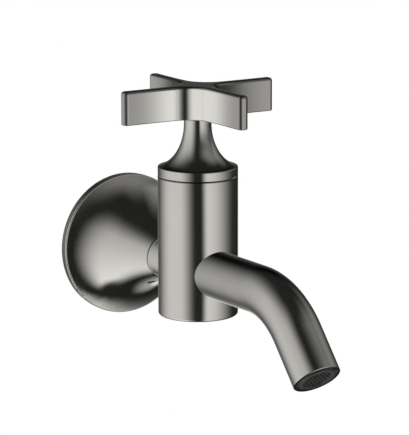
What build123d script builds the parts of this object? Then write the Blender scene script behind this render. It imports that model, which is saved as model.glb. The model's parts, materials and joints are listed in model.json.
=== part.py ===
from build123d import *
from math import acos, cos, degrees, radians, sin, sqrt, tan
import os

# Wall-mounted tap with a cross handle, a bell-shaped wall flange and a short bent spout.
# Units are millimetres. The origin lies on the inlet axis, in the plane of the wall.
# +Z is up. The tap stands out from the wall along -Y, and its thread goes into the wall along +Y.
# A height is a Z value. A depth is a distance from the wall along -Y.

# Clearances
RUNNING_FIT = 0.05        # radial, between a turning piece and its bearing
LOOSE_FIT = 0.1           # radial, between pieces that are slid together
TURNING_GAP = 0.3         # between outer pieces that turn and outer pieces that don't
FILM = 0.02               # between faces that slide on each other
SEAM_BEVEL = 0.3          # on each side of a visible joint
CUT_PAST = 1.0            # how far a cutting shape runs past the surface that it cuts

# Valve body
AXIS_REACH = 66.7         # wall to the valve axis
BODY_RADIUS = 18.0
BODY_DROP = 20.9          # inlet axis down to the body's lower end
BODY_RISE = 42.6          # inlet axis up to its upper end
BODY_EDGE = 1.2

# Cap and neck
CAP_BAND = 4.1            # body to the height at which the flare would lie level
FLARE_WIDTH = 13.5        # half axes of the flare's quarter ellipse
FLARE_HEIGHT = 19.5
NECK_RADIUS = 6.17
NECK_LENGTH = 2.05        # straight part above the flare
CAP_EDGE = 0.5
CAP_WALL = 2.2
SKIRT_INSET = 2.9         # body's side to the skirt, the part of the cap that sits in the body
SKIRT_WALL = 1.9
SKIRT_DEPTH = 5.6
CAP_ORING_DROP = 2.8      # body's upper end down to the O-ring's middle
CAP_ORING_DEPTH = 1.1

# Cross handle
HANDLE_HEIGHT = 15.1
ARM_REACH = 38.7          # axis to the end of an arm
ARM_END_HALF = 2.4        # half thickness at the end
ARM_WAIST_HALF = 2.15     # half thickness at the slimmest place
ARM_WAIST_INSET = 12.7    # end of the arm to the slimmest place
CORNER_RADIUS = 11.0      # hollow corner between two arms
ARM_END_EDGE = 1.7
HANDLE_TOP_EDGE = 1.3
HANDLE_BOTTOM_EDGE = 0.6
HUB_BORE_DEPTH = 11.0

# Spout
SPOUT_RADIUS = 10.75
SPOUT_WALL = 2.35
SPOUT_LEG = 50.4          # valve axis to the start of the bend
BEND_RADIUS = 41.3
BEND_ANGLE = 48.5
END_LEG = 22.0
SPIGOT_STEP = 0.65        # how much thinner the spigot is than the tube
SPIGOT_LENGTH = 9.0
MOUTH_EDGE = 0.35

# Wall flange
FLANGE_RADIUS = 32.9
FLANGE_RIM = 3.6          # width of the band round the rim
RIM_EDGE = 0.6
RIM_LIP = 3.6
FLANGE_WALL = 1.9
FLANGE_LENGTH = 38.2
NECK_LAND = 0.7           # nipple's side to the neck's end
NECK_EDGE = 0.45
RIM_ANGLE = 62.0          # between the bell's side and its axis, at the rim
NECK_ANGLE = 20.0         # the same at the neck
RIM_PULL = 13.0           # how strongly the side keeps the first angle
NECK_PULL = 14.0          # how strongly it keeps the second
LAND_LENGTH = 14.2        # part of the neck's bore that sits on the nipple
WALL_SEAL_INSET = 1.0
WALL_SEAL_WIDTH = 1.8
WALL_SEAL_HEIGHT = 1.6
FLANGE_ORING_INSET = 5.2  # neck's end to the O-ring's middle
FLANGE_ORING_CORD = 1.2
SET_SCREW_INSET = 10.7    # neck's end to the grub screw
SET_SCREW_RADIUS = 2.5
SET_SCREW_LENGTH = 4.1
SET_SCREW_SOCKET = 2.5    # hexagon, across its flats

# Inlet nipple
INLET_THREAD_RADIUS = 10.4775
INLET_THREAD_END = 13.0   # how far it reaches into the wall
INLET_THREAD_START = 2.0  # how far it begins in front of the wall
NIPPLE_RADIUS = 9.1
NIPPLE_GRIP = 2.2         # how far its smooth part reaches into the body
NOSE_STEP = 1.1           # how much thinner the nose is
NOSE_LENGTH = 7.1
NIPPLE_BORE = 4.6
KEY_HEXAGON = 10.0
KEY_DEPTH = 9.0
NIPPLE_WASHER = 1.5
THREAD_BEVEL = 0.8

# Water passages in the body
INLET_PASSAGE = 4.4
INLET_PAST = 4.0          # how far the inlet runs past the valve axis
SEAT_FLOOR = 0.9          # spigot's bore to the seat of the valve
SEAT_PORT = 4.4
CHAMBER_STEP = 0.2        # how much narrower the chamber is than the headwork's thread
OUTLET_STEP = 2.4         # how far the outlet runs past the spigot
CRESCENT_INSET = 0.3      # chamber's side to the curved slot that leads to the outlet
CRESCENT_WIDTH = 2.4
CRESCENT_HALF_ANGLE = 42.0
CRESCENT_DEPTH = 8.5      # below the seat

# Headwork, the quarter-turn valve that is screwed into the body
DISC_RADIUS = 7.5
DISC_THICKNESS = 3.0
WINDOW_INNER = 2.2
DISC_RIM = 1.6            # windows to the disc's side
WINDOW_HALF_ANGLE = 38.0
BOTTOM_SEAL_WIDTH = 2.4
BOTTOM_SEAL_HEIGHT = 2.5
TUBE_WALL = 1.75
TUBE_GAP = 0.6            # seat to the housing's lower end
THREAD_STEP = 1.1         # how much wider the thread is than the tube
THREAD_LENGTH = 9.0
HEX_DROP = 6.6            # body's upper end down to the hexagon's seat
HEX_ACROSS = 22.0
HEX_HEIGHT = 5.0          # with the collar under it
COLLAR_HEIGHT = 2.2
HEADWORK_ORING_GAP = 0.3
HEADWORK_ORING_CORD = 1.3
HOUSING_STANDOUT = 0.8    # how far the housing stands above the body
HOUSING_NECK_WALL = 2.05
SIDE_WINDOW_WIDTH = 6.5
SIDE_WINDOW_HEIGHT = 3.6

# Spindle and what turns with it
SPINDLE_RADIUS = 4.9
TONGUE_INSET = 1.5        # disc's side to each end of the tongue
TONGUE_WIDTH = 3.2
TONGUE_DEPTH = 1.8
SPINDLE_FLANGE_GAP = 1.6  # moving disc to the spindle's flange
SPINDLE_FLANGE_HEIGHT = 2.6
LUG_RISE = 0.75           # how far the stop lug stands out of the housing's bore
LUG_HALF_ANGLE = 14.0
QUARTER_TURN = 90.0
STOP_PLAY = 1.0           # angle left at each stop
WASHER_HEIGHT = 0.8
WASHER_WIDTH = 2.2
SPINDLE_ORING_DROPS = (9.9, 13.9)  # housing's upper end down to the middle of each O-ring
SPINDLE_ORING_GROOVE = 1.5
SPINDLE_ORING_WIDTH = 1.7
CLIP_HEIGHT = 0.6
CLIP_WIDTH = 1.5
CLIP_GROOVE_DEPTH = 0.7
CLIP_OPENING = 5.0
SQUARE_ACROSS = 7.0
SQUARE_LENGTH = 7.6       # how far the spindle stands above the housing
SOCKET_WALL = 1.25
SOCKET_ROOF = 1.0
EXTENSION_RADIUS = 4.1
DRIVE_STEP = 0.2          # how much thinner the drive is than the extension
FLAT_DEPTH = 0.5
INSERT_WALL = 1.05
INSERT_ROOF = 0.7
ROOF_GAP = 0.4            # end of the drive to the insert's roof
EXTENSION_SCREW = 1.6
SCREW_REACH = 5.0         # how far the screw reaches into the spindle
SCREW_HEAD_RADIUS = 2.6
SCREW_HEAD_HEIGHT = 2.6
SCREW_HEAD_SOCKET = 2.5
SOCKET_SHARE = 0.55       # depth of a screw's socket over the length that it is cut in
BUSH_WALL = 1.08
BUSH_LENGTH = 6.1
HANDLE_SCREW_RISE = 6.2   # underside of the handle up to the grub screw
HANDLE_SCREW_RADIUS = 1.5
HANDLE_SCREW_RECESS = 0.3
HANDLE_SCREW_SOCKET = 1.5

# Aerator. Its places are distances from the spout's mouth into the tube.
MOUTH_WALL = 1.45
MOUTH_THREAD_LENGTH = 9.6
AERATOR_RECESS = 0.4
AERATOR_WALL = 1.95
AERATOR_COLLAR = 0.5      # wall of the collar round the screen
AERATOR_STANDOUT = 0.4    # how far the collar stands out of the mouth
AERATOR_LIP = 0.6
AERATOR_LIP_HEIGHT = 0.7
COLLAR_BEVEL = 0.2
GASKET_HEIGHT = 1.4
GASKET_WIDTH = 1.8
KEY_SLOTS = 4
KEY_SLOT_WIDTH = 2.2
KEY_SLOT_DEPTH = 0.7
SCREEN_HEIGHT = 0.7
SCREEN_PITCH = 2.1
SCREEN_HOLE = 1.55
SCREEN_FRAME = 0.5
CORE_HEIGHT = 2.6
CORE_HOLES = 12
CORE_HOLE_RADIUS = 0.55
CORE_HOLE_CIRCLE = 5.2
CORE_DISH = 0.8           # depth of the hollow that spreads the water over the holes
REGULATOR_GAP = 0.2       # regulator to the gasket
REGULATOR_GROOVE = 3.6    # middle radius of its groove
REGULATOR_GROOVE_WIDTH = 1.6
REGULATOR_GROOVE_DEPTH = 1.2
REGULATOR_HOLES = 6
REGULATOR_HOLE_RADIUS = 0.6
REGULATOR_CORD = 1.0

# Places that follow from the sizes above
STANDING = (Align.CENTER, Align.CENTER, Align.MIN)
VALVE_AXIS = Pos(0, -AXIS_REACH, 0)
SPOUT_BORE = SPOUT_RADIUS - SPOUT_WALL
SPIGOT_RADIUS = SPOUT_RADIUS - SPIGOT_STEP
SPIGOT_AT = BODY_RADIUS - SPIGOT_LENGTH
OUTLET_AT = SPIGOT_AT - OUTLET_STEP
NIPPLE_SHOULDER = AXIS_REACH - BODY_RADIUS + NIPPLE_GRIP
NIPPLE_END = NIPPLE_SHOULDER + NOSE_LENGTH
NOSE_RADIUS = NIPPLE_RADIUS - NOSE_STEP
WASHER_END = NIPPLE_END + NIPPLE_WASHER
WALL_SEAL_RADIUS = FLANGE_RADIUS - WALL_SEAL_INSET
FLANGE_NECK = NIPPLE_RADIUS + NECK_LAND
LAND_START = FLANGE_LENGTH - LAND_LENGTH
FLANGE_ORING_DEPTH = FLANGE_LENGTH - FLANGE_ORING_INSET
SET_SCREW_DEPTH = FLANGE_LENGTH - SET_SCREW_INSET
SEAT_HEIGHT = SPIGOT_RADIUS + SEAT_FLOOR
FIXED_DISC_BOTTOM = SEAT_HEIGHT + BOTTOM_SEAL_HEIGHT
FIXED_DISC_TOP = FIXED_DISC_BOTTOM + DISC_THICKNESS
MOVING_DISC_BOTTOM = FIXED_DISC_TOP + FILM
MOVING_DISC_TOP = MOVING_DISC_BOTTOM + DISC_THICKNESS
SPINDLE_FLANGE_BOTTOM = MOVING_DISC_TOP + SPINDLE_FLANGE_GAP
SPINDLE_FLANGE_TOP = SPINDLE_FLANGE_BOTTOM + SPINDLE_FLANGE_HEIGHT
SPINDLE_WASHER_TOP = SPINDLE_FLANGE_TOP + WASHER_HEIGHT
HOUSING_SHOULDER = SPINDLE_WASHER_TOP + FILM
HOUSING_BORE = DISC_RADIUS + RUNNING_FIT
SPINDLE_BORE = SPINDLE_RADIUS + RUNNING_FIT
LUG_RADIUS = HOUSING_BORE + LUG_RISE
TUBE_BOTTOM = SEAT_HEIGHT + TUBE_GAP
TUBE_RADIUS = HOUSING_BORE + TUBE_WALL
HEADWORK_THREAD = TUBE_RADIUS + THREAD_STEP
CHAMBER_RADIUS = HEADWORK_THREAD - CHAMBER_STEP
HEX_SEAT = BODY_RISE - HEX_DROP
THREAD_START = HEX_SEAT - THREAD_LENGTH
HEADWORK_ORING_INNER = HEADWORK_THREAD + HEADWORK_ORING_GAP
HOUSING_TOP = BODY_RISE + HOUSING_STANDOUT
CLIP_BOTTOM = HOUSING_TOP + FILM
CLIP_TOP = CLIP_BOTTOM + CLIP_HEIGHT
CLIP_GROOVE = SPINDLE_RADIUS - CLIP_GROOVE_DEPTH
CLIP_RADIUS = SPINDLE_RADIUS + CLIP_WIDTH
SPINDLE_TOP = HOUSING_TOP + SQUARE_LENGTH
SOCKET_BOTTOM = CLIP_TOP + TURNING_GAP
SOCKET_TOP = SPINDLE_TOP + SOCKET_ROOF
SOCKET_RADIUS = SQUARE_ACROSS * sqrt(0.5) + SOCKET_WALL
SKIRT_RADIUS = BODY_RADIUS - SKIRT_INSET
SKIRT_BOTTOM = BODY_RISE - SKIRT_DEPTH
CAP_ORING_HEIGHT = BODY_RISE - CAP_ORING_DROP
FLARE_BASE = BODY_RISE + CAP_BAND
NECK_TOP = FLARE_BASE + FLARE_HEIGHT + NECK_LENGTH
NECK_BORE = EXTENSION_RADIUS + RUNNING_FIT + BUSH_WALL + FILM
HANDLE_BOTTOM = NECK_TOP + TURNING_GAP
HANDLE_SCREW_HEIGHT = HANDLE_BOTTOM + HANDLE_SCREW_RISE
ARM_WAIST_AT = ARM_REACH - ARM_WAIST_INSET
DRIVE_RADIUS = EXTENSION_RADIUS - DRIVE_STEP
DRIVE_FLAT = DRIVE_RADIUS - FLAT_DEPTH
HUB_BORE = DRIVE_RADIUS + RUNNING_FIT + INSERT_WALL
HUB_TOP = HANDLE_BOTTOM + HUB_BORE_DEPTH
DRIVE_TOP = HUB_TOP - INSERT_ROOF - ROOF_GAP
SCREW_HEAD_BOTTOM = DRIVE_TOP - SCREW_HEAD_HEIGHT - LOOSE_FIT
MOUTH_THREAD = SPOUT_RADIUS - MOUTH_WALL
GASKET_START = MOUTH_THREAD_LENGTH - GASKET_HEIGHT
AERATOR_RADIUS = MOUTH_THREAD - RUNNING_FIT
AERATOR_BORE = AERATOR_RADIUS - AERATOR_WALL
AERATOR_SEAT = AERATOR_LIP_HEIGHT - AERATOR_STANDOUT
COLLAR_RADIUS = AERATOR_BORE + AERATOR_COLLAR
CORE_START = AERATOR_SEAT + SCREEN_HEIGHT
REGULATOR_START = CORE_START + CORE_HEIGHT
REGULATOR_END = GASKET_START - REGULATOR_GAP


# Shapes that several pieces share

def turned(outline):
    """Turns a closed outline of (radius, height) points about the Z axis."""
    return revolve(Plane.XZ * make_face(outline), Axis.Z, 360)


def ring(inner, outer, low, high):
    """Plain ring about the Z axis, or a disc where the inner radius is 0."""
    return turned(Polyline((inner, low), (outer, low), (outer, high), (inner, high), close=True))


def rubber_ring(inner, outer, low, high):
    """Ring about the Z axis with a well rounded section, as rubber has when it is squeezed."""
    width = outer - inner
    height = high - low
    section = RectangleRounded(width, height, 0.45 * min(width, height))
    middle = Pos((inner + outer) / 2, (low + high) / 2)
    return revolve(Plane.XZ * middle * section, Axis.Z, 360)


def ring_sector(inner, outer, half_angle, low, high):
    """Part of a ring about the Z axis, with its middle on the +X side."""
    reach = 2 * outer
    rise = reach * tan(radians(half_angle))
    wedge = make_face(Polyline((0, 0), (reach, -rise), (reach, rise), close=True))
    return ring(inner, outer, low, high) & extrude(Pos(0, 0, low) * wedge, high - low)


def prism(sketch, low, high):
    """Straight piece along the Z axis with the given section."""
    return extrude(Pos(0, 0, low) * sketch, high - low)


def hexagon(across):
    """Regular hexagon, given across its flats."""
    return RegularPolygon(across / 2, 6, major_radius=False)


def grub_screw(radius, length, socket):
    """Headless screw that stands on the Z axis, with its hexagon socket in the upper end."""
    point = 0.35 * radius
    rim = 0.15 * radius
    outline = Polyline(
        (0, 0),
        (radius - point, 0),
        (radius, point),
        (radius, length - rim),
        (radius - rim, length),
        (0, length),
        close=True,
    )
    return turned(outline) - prism(hexagon(socket), (1 - SOCKET_SHARE) * length, length + CUT_PAST)


def on_inlet_axis(piece):
    """Lays a piece that stands on the Z axis along the inlet axis, its heights becoming depths."""
    return Rot(90, 0, 0) * piece


def inlet_ring(inner, outer, near, far):
    """Plain ring about the inlet axis, between two depths."""
    return on_inlet_axis(ring(inner, outer, near, far))


def valve_ring(inner, outer, low, high):
    """Plain ring about the valve axis, between two heights."""
    return VALVE_AXIS * ring(inner, outer, low, high)


# Wall flange

def bell_direction(angle):
    """Unit step along the bell's side, away from the wall, at an angle to the axis."""
    return Vector(-sin(radians(angle)), cos(radians(angle)))


def bell_side():
    """The bell's outer side from rim to neck, as (radius, depth) points."""
    rim = Vector(FLANGE_RADIUS - RIM_EDGE, FLANGE_RIM)
    neck = Vector(FLANGE_NECK, FLANGE_LENGTH - NECK_EDGE)
    rim_handle = rim + bell_direction(RIM_ANGLE) * RIM_PULL
    neck_handle = neck - bell_direction(NECK_ANGLE) * NECK_PULL
    return Bezier(rim, rim_handle, neck_handle, neck)


def bell_inner_points():
    """Points of the bell's inner side, from the lip to the land that sits on the nipple."""
    side = bell_side()
    points = []
    steps = 60
    for step in range(steps + 1):
        share = step / steps
        outer = side @ share
        along = side % share
        inner = outer + Vector(-along.Y, along.X) * FLANGE_WALL
        if inner.X < FLANGE_RADIUS - RIM_LIP and inner.Y < LAND_START:
            points.append(inner)
    return points[:: len(points) // 5]


def make_wall_flange():
    """Bell-shaped cover, hollow behind, with a bored neck that sits on the nipple."""
    side = bell_side()
    neck = side @ 1
    rim_end = (FLANGE_RADIUS, FLANGE_RIM - RIM_EDGE)
    outline = Polyline((0, FLANGE_LENGTH), (0, 0), (FLANGE_RADIUS, 0), rim_end)
    outline += RadiusArc(rim_end, side @ 0, -RIM_EDGE)
    outline += side
    outline += Polyline(neck, (neck.X - NECK_EDGE, FLANGE_LENGTH), (0, FLANGE_LENGTH))
    bell = turned(outline)
    inner = bell_inner_points()
    lip = FLANGE_RADIUS - RIM_LIP
    hollow = Polyline((0, inner[-1].Y), (0, -CUT_PAST), (lip, -CUT_PAST), (lip, inner[0].Y), inner[0])
    hollow += Spline(*inner)
    hollow += Line(inner[-1], (0, inner[-1].Y))
    bell -= turned(hollow)
    bell -= ring(0, NIPPLE_RADIUS + RUNNING_FIT, -CUT_PAST, FLANGE_LENGTH + CUT_PAST)
    seal_inner = WALL_SEAL_RADIUS - WALL_SEAL_WIDTH - LOOSE_FIT
    bell -= ring(seal_inner, WALL_SEAL_RADIUS + LOOSE_FIT, -CUT_PAST, WALL_SEAL_HEIGHT)
    groove = FLANGE_ORING_CORD + LOOSE_FIT
    groove_start = FLANGE_ORING_DEPTH - groove / 2
    bell -= ring(0, NIPPLE_RADIUS + groove, groove_start, groove_start + groove)
    screw_hole = Pos(0, -SET_SCREW_DEPTH, -FLANGE_RADIUS) * Cylinder(
        SET_SCREW_RADIUS + RUNNING_FIT, FLANGE_RADIUS, align=STANDING
    )
    return on_inlet_axis(bell) - screw_hole


def make_flange_seal():
    """Rubber ring in the back of the rim, flush with the wall."""
    inner = WALL_SEAL_RADIUS - WALL_SEAL_WIDTH
    return on_inlet_axis(rubber_ring(inner, WALL_SEAL_RADIUS, 0, WALL_SEAL_HEIGHT))


def make_flange_oring():
    """O-ring between the flange's neck and the nipple."""
    inner = NIPPLE_RADIUS + FILM
    start = FLANGE_ORING_DEPTH - FLANGE_ORING_CORD / 2
    return on_inlet_axis(rubber_ring(inner, inner + FLANGE_ORING_CORD, start, start + FLANGE_ORING_CORD))


def make_flange_set_screw():
    """Grub screw in the underside of the neck, its point on the nipple."""
    screw = grub_screw(SET_SCREW_RADIUS, SET_SCREW_LENGTH, SET_SCREW_SOCKET)
    return Pos(0, -SET_SCREW_DEPTH, -NIPPLE_RADIUS - FILM) * Rot(180, 0, 0) * screw


# Inlet nipple

def make_inlet_nipple():
    """Tube with the wall thread at one end and the nose that screws into the body at the other."""
    outline = Polyline(
        (0, -INLET_THREAD_END),
        (INLET_THREAD_RADIUS - THREAD_BEVEL, -INLET_THREAD_END),
        (INLET_THREAD_RADIUS, THREAD_BEVEL - INLET_THREAD_END),
        (INLET_THREAD_RADIUS, INLET_THREAD_START),
        (NIPPLE_RADIUS, INLET_THREAD_START + INLET_THREAD_RADIUS - NIPPLE_RADIUS),
        (NIPPLE_RADIUS, NIPPLE_SHOULDER),
        (NOSE_RADIUS, NIPPLE_SHOULDER),
        (NOSE_RADIUS, NIPPLE_END - THREAD_BEVEL),
        (NOSE_RADIUS - THREAD_BEVEL, NIPPLE_END),
        (0, NIPPLE_END),
        close=True,
    )
    nipple = turned(outline)
    nipple -= ring(0, NIPPLE_BORE, -INLET_THREAD_END - CUT_PAST, NIPPLE_END + CUT_PAST)
    nipple -= prism(hexagon(KEY_HEXAGON), NIPPLE_END - KEY_DEPTH, NIPPLE_END + CUT_PAST)
    return on_inlet_axis(nipple)


def make_nipple_washer():
    """Flat sealing ring between the nipple's end and the body."""
    return inlet_ring(NIPPLE_BORE + 2 * LOOSE_FIT, NOSE_RADIUS - LOOSE_FIT, NIPPLE_END, WASHER_END)


# Valve body

def body_cylinder():
    """The plain cylinder of the valve body."""
    return VALVE_AXIS * Pos(0, 0, -BODY_DROP) * Cylinder(BODY_RADIUS, BODY_DROP + BODY_RISE, align=STANDING)


def make_valve_body():
    """Upright cylinder with the inlet behind, the outlet in front and the valve chamber above."""
    body = body_cylinder()
    body = fillet(body.edges().sort_by(Axis.Z)[0], BODY_EDGE)
    body = chamfer(body.edges().sort_by(Axis.Z)[-1], SEAM_BEVEL)
    back = AXIS_REACH - BODY_RADIUS - CUT_PAST
    front = AXIS_REACH + BODY_RADIUS + CUT_PAST
    body -= inlet_ring(0, NIPPLE_RADIUS + RUNNING_FIT, back, NIPPLE_SHOULDER)
    body -= inlet_ring(0, NOSE_RADIUS + RUNNING_FIT, back, WASHER_END)
    body -= inlet_ring(0, INLET_PASSAGE, back, AXIS_REACH + INLET_PAST)
    body -= inlet_ring(0, SPIGOT_RADIUS + FILM, AXIS_REACH + SPIGOT_AT, front)
    body -= inlet_ring(0, SPOUT_BORE, AXIS_REACH + OUTLET_AT, front)
    body -= valve_ring(0, SEAT_PORT, 0, SEAT_HEIGHT + CUT_PAST)
    body -= valve_ring(0, CHAMBER_RADIUS, SEAT_HEIGHT, BODY_RISE)
    body -= valve_ring(0, HEADWORK_THREAD + RUNNING_FIT, THREAD_START, BODY_RISE)
    body -= valve_ring(0, SKIRT_RADIUS + LOOSE_FIT, HEX_SEAT, BODY_RISE + CUT_PAST)
    outer = CHAMBER_RADIUS - CRESCENT_INSET
    inner = outer - CRESCENT_WIDTH
    low = SEAT_HEIGHT - CRESCENT_DEPTH
    crescent = ring_sector(inner, outer, CRESCENT_HALF_ANGLE, low, SEAT_HEIGHT + CUT_PAST)
    return body - VALVE_AXIS * Rot(0, 0, -90) * crescent


# Headwork

def disc_windows(low, high):
    """The two opposite windows of a ceramic disc, on the X axis."""
    window = ring_sector(WINDOW_INNER, DISC_RADIUS - DISC_RIM, WINDOW_HALF_ANGLE, low, high)
    return window + Rot(0, 0, 180) * window


def stop_place(angle):
    """Turn that puts a piece made on the +X side at the stop's side of the housing."""
    return Rot(0, 0, 90 - QUARTER_TURN / 2 + angle)


def make_headwork_housing():
    """Housing with thread, collar and hexagon, bored for the discs and the spindle."""
    housing = ring(0, TUBE_RADIUS, TUBE_BOTTOM, HEX_SEAT)
    housing += ring(0, HEADWORK_THREAD, THREAD_START, HEX_SEAT)
    housing += ring(0, HEX_ACROSS / sqrt(3), HEX_SEAT, HEX_SEAT + COLLAR_HEIGHT)
    housing += prism(hexagon(HEX_ACROSS), HEX_SEAT, HEX_SEAT + HEX_HEIGHT)
    housing += ring(0, SPINDLE_BORE + HOUSING_NECK_WALL, HEX_SEAT, HOUSING_TOP)
    housing -= ring(0, HOUSING_BORE, TUBE_BOTTOM - CUT_PAST, HOUSING_SHOULDER)
    housing -= ring(0, SPINDLE_BORE, TUBE_BOTTOM, HOUSING_TOP + CUT_PAST)
    window_low = MOVING_DISC_TOP - SIDE_WINDOW_HEIGHT / 4
    side_window = Pos(0, 0, window_low) * Box(
        4 * TUBE_RADIUS, SIDE_WINDOW_WIDTH, SIDE_WINDOW_HEIGHT, align=STANDING
    )
    housing -= side_window
    sweep_half = QUARTER_TURN / 2 + LUG_HALF_ANGLE + STOP_PLAY
    recess_low = SPINDLE_FLANGE_BOTTOM - TURNING_GAP
    recess = ring_sector(SPINDLE_RADIUS, LUG_RADIUS + LOOSE_FIT, sweep_half, recess_low, HOUSING_SHOULDER)
    housing -= stop_place(QUARTER_TURN / 2) * recess
    seal_outer = HEADWORK_ORING_INNER + HEADWORK_ORING_CORD + LOOSE_FIT
    seal_top = HEX_SEAT + HEADWORK_ORING_CORD
    housing -= ring(HEADWORK_ORING_INNER - LOOSE_FIT, seal_outer, HEX_SEAT - CUT_PAST, seal_top)
    return VALVE_AXIS * housing


def make_headwork_oring():
    """O-ring under the housing's collar."""
    outer = HEADWORK_ORING_INNER + HEADWORK_ORING_CORD
    return VALVE_AXIS * rubber_ring(HEADWORK_ORING_INNER, outer, HEX_SEAT, HEX_SEAT + HEADWORK_ORING_CORD)


def make_bottom_seal():
    """Rubber ring between the seat in the body and the fixed disc."""
    outer = DISC_RADIUS - LOOSE_FIT
    return VALVE_AXIS * rubber_ring(outer - BOTTOM_SEAL_WIDTH, outer, SEAT_HEIGHT, FIXED_DISC_BOTTOM)


def make_fixed_disc():
    """Ceramic disc that stays still, its windows on the X axis."""
    disc = ring(0, DISC_RADIUS, FIXED_DISC_BOTTOM, FIXED_DISC_TOP)
    return VALVE_AXIS * (disc - disc_windows(0, FIXED_DISC_TOP))


def make_moving_disc():
    """Ceramic disc that turns, a quarter turn away from the fixed one at rest, with the tongue's slot."""
    disc = ring(0, DISC_RADIUS, MOVING_DISC_BOTTOM, MOVING_DISC_TOP)
    disc -= Rot(0, 0, -QUARTER_TURN) * disc_windows(0, MOVING_DISC_TOP)
    slot_low = MOVING_DISC_TOP - TONGUE_DEPTH - FILM
    slot_width = TONGUE_WIDTH + 2 * RUNNING_FIT
    slot = Pos(0, 0, slot_low) * Box(4 * DISC_RADIUS, slot_width, DISC_THICKNESS, align=STANDING)
    return VALVE_AXIS * (disc - slot)


# Spindle and its small pieces

def make_spindle():
    """Spindle with the tongue below, the flange with its stop lug, the grooves and the square."""
    spindle = ring(0, SPINDLE_RADIUS, SPINDLE_FLANGE_BOTTOM, CLIP_TOP)
    spindle += ring(0, HOUSING_BORE - LOOSE_FIT, SPINDLE_FLANGE_BOTTOM, SPINDLE_FLANGE_TOP)
    lug = ring_sector(SPINDLE_RADIUS, LUG_RADIUS, LUG_HALF_ANGLE, SPINDLE_FLANGE_BOTTOM, SPINDLE_FLANGE_TOP)
    spindle += stop_place(0) * lug
    tongue_low = MOVING_DISC_TOP - TONGUE_DEPTH
    tongue_length = 2 * (DISC_RADIUS - TONGUE_INSET)
    spindle += prism(Rectangle(tongue_length, TONGUE_WIDTH), tongue_low, SPINDLE_FLANGE_BOTTOM)
    square = prism(Rectangle(SQUARE_ACROSS, SQUARE_ACROSS), CLIP_BOTTOM, SPINDLE_TOP)
    spindle += square & ring(0, SPINDLE_RADIUS, CLIP_BOTTOM, SPINDLE_TOP)
    for drop in SPINDLE_ORING_DROPS:
        middle = HOUSING_TOP - drop
        half = SPINDLE_ORING_WIDTH / 2 + LOOSE_FIT
        groove = SPINDLE_RADIUS - SPINDLE_ORING_GROOVE
        spindle -= ring(groove, 2 * SPINDLE_RADIUS, middle - half, middle + half)
    spindle -= ring(CLIP_GROOVE, 2 * SPINDLE_RADIUS, CLIP_BOTTOM, CLIP_TOP + FILM)
    screw_hole_low = SPINDLE_TOP - SCREW_REACH - CUT_PAST
    spindle -= ring(0, EXTENSION_SCREW + FILM, screw_hole_low, SPINDLE_TOP + CUT_PAST)
    return VALVE_AXIS * spindle


def make_thrust_washer():
    """Washer above the spindle's flange."""
    inner = SPINDLE_RADIUS + FILM
    return valve_ring(inner, inner + WASHER_WIDTH, SPINDLE_FLANGE_TOP, SPINDLE_WASHER_TOP)


def make_spindle_orings():
    """The two O-rings of the spindle."""
    inner = SPINDLE_RADIUS - SPINDLE_ORING_GROOVE + FILM
    outer = SPINDLE_BORE - FILM
    rings = []
    for drop in SPINDLE_ORING_DROPS:
        low = HOUSING_TOP - drop - SPINDLE_ORING_WIDTH / 2
        rings.append(VALVE_AXIS * rubber_ring(inner, outer, low, low + SPINDLE_ORING_WIDTH))
    return Compound(children=rings)


def make_spindle_clip():
    """Open clip that rests on the housing's top and holds the spindle."""
    clip = ring(CLIP_GROOVE + FILM, CLIP_RADIUS, CLIP_BOTTOM, CLIP_TOP)
    opening = Pos(CLIP_RADIUS, 0, CLIP_BOTTOM) * Box(2 * CLIP_RADIUS, CLIP_OPENING, 2 * CLIP_HEIGHT)
    return VALVE_AXIS * (clip - opening)


def drive_section(clearance):
    """Round section with two flats, grown by a clearance."""
    width = 2 * (DRIVE_FLAT + clearance)
    return Circle(DRIVE_RADIUS + clearance) & Rectangle(width, 4 * DRIVE_RADIUS)


def make_spindle_extension():
    """Rod that carries the turn through the neck, with a square socket below and flats above."""
    rod = ring(0, SOCKET_RADIUS, SOCKET_BOTTOM, SOCKET_TOP)
    rod += ring(0, EXTENSION_RADIUS, SOCKET_TOP, HANDLE_BOTTOM + TURNING_GAP)
    rod += prism(drive_section(0), SOCKET_TOP, DRIVE_TOP)
    pocket = SQUARE_ACROSS + 2 * RUNNING_FIT
    rod -= prism(Rectangle(pocket, pocket), SOCKET_BOTTOM - CUT_PAST, SPINDLE_TOP + FILM)
    rod -= ring(0, EXTENSION_SCREW + LOOSE_FIT, SOCKET_BOTTOM, DRIVE_TOP + CUT_PAST)
    rod -= ring(0, SCREW_HEAD_RADIUS + RUNNING_FIT, SCREW_HEAD_BOTTOM, DRIVE_TOP + CUT_PAST)
    return VALVE_AXIS * rod


def make_extension_screw():
    """Screw that clamps the extension to the spindle."""
    screw = ring(0, EXTENSION_SCREW, SPINDLE_TOP - SCREW_REACH, SCREW_HEAD_BOTTOM)
    head_top = SCREW_HEAD_BOTTOM + SCREW_HEAD_HEIGHT
    screw += ring(0, SCREW_HEAD_RADIUS, SCREW_HEAD_BOTTOM, head_top)
    socket_bottom = head_top - SOCKET_SHARE * SCREW_HEAD_HEIGHT
    screw -= prism(hexagon(SCREW_HEAD_SOCKET), socket_bottom, head_top + CUT_PAST)
    return VALVE_AXIS * screw


# Cap with flare and neck

def flare_angle(radius, grow=0.0):
    """Angle on the flare's ellipse, or on its copy further in by grow, at a radius from the valve axis."""
    share = (NECK_RADIUS + FLARE_WIDTH - radius) / (FLARE_WIDTH + grow)
    return acos(min(share, 1.0))


def flare_arc(first, last, grow=0.0):
    """Arc of the flare between two radii, the first one the larger."""
    start = degrees(flare_angle(last, grow))
    end = degrees(flare_angle(first, grow))
    return EllipticalCenterArc(
        (NECK_RADIUS + FLARE_WIDTH, FLARE_BASE + FLARE_HEIGHT),
        FLARE_WIDTH + grow,
        FLARE_HEIGHT + grow,
        start_angle=180 + start,
        arc_size=end - start,
    )


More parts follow.
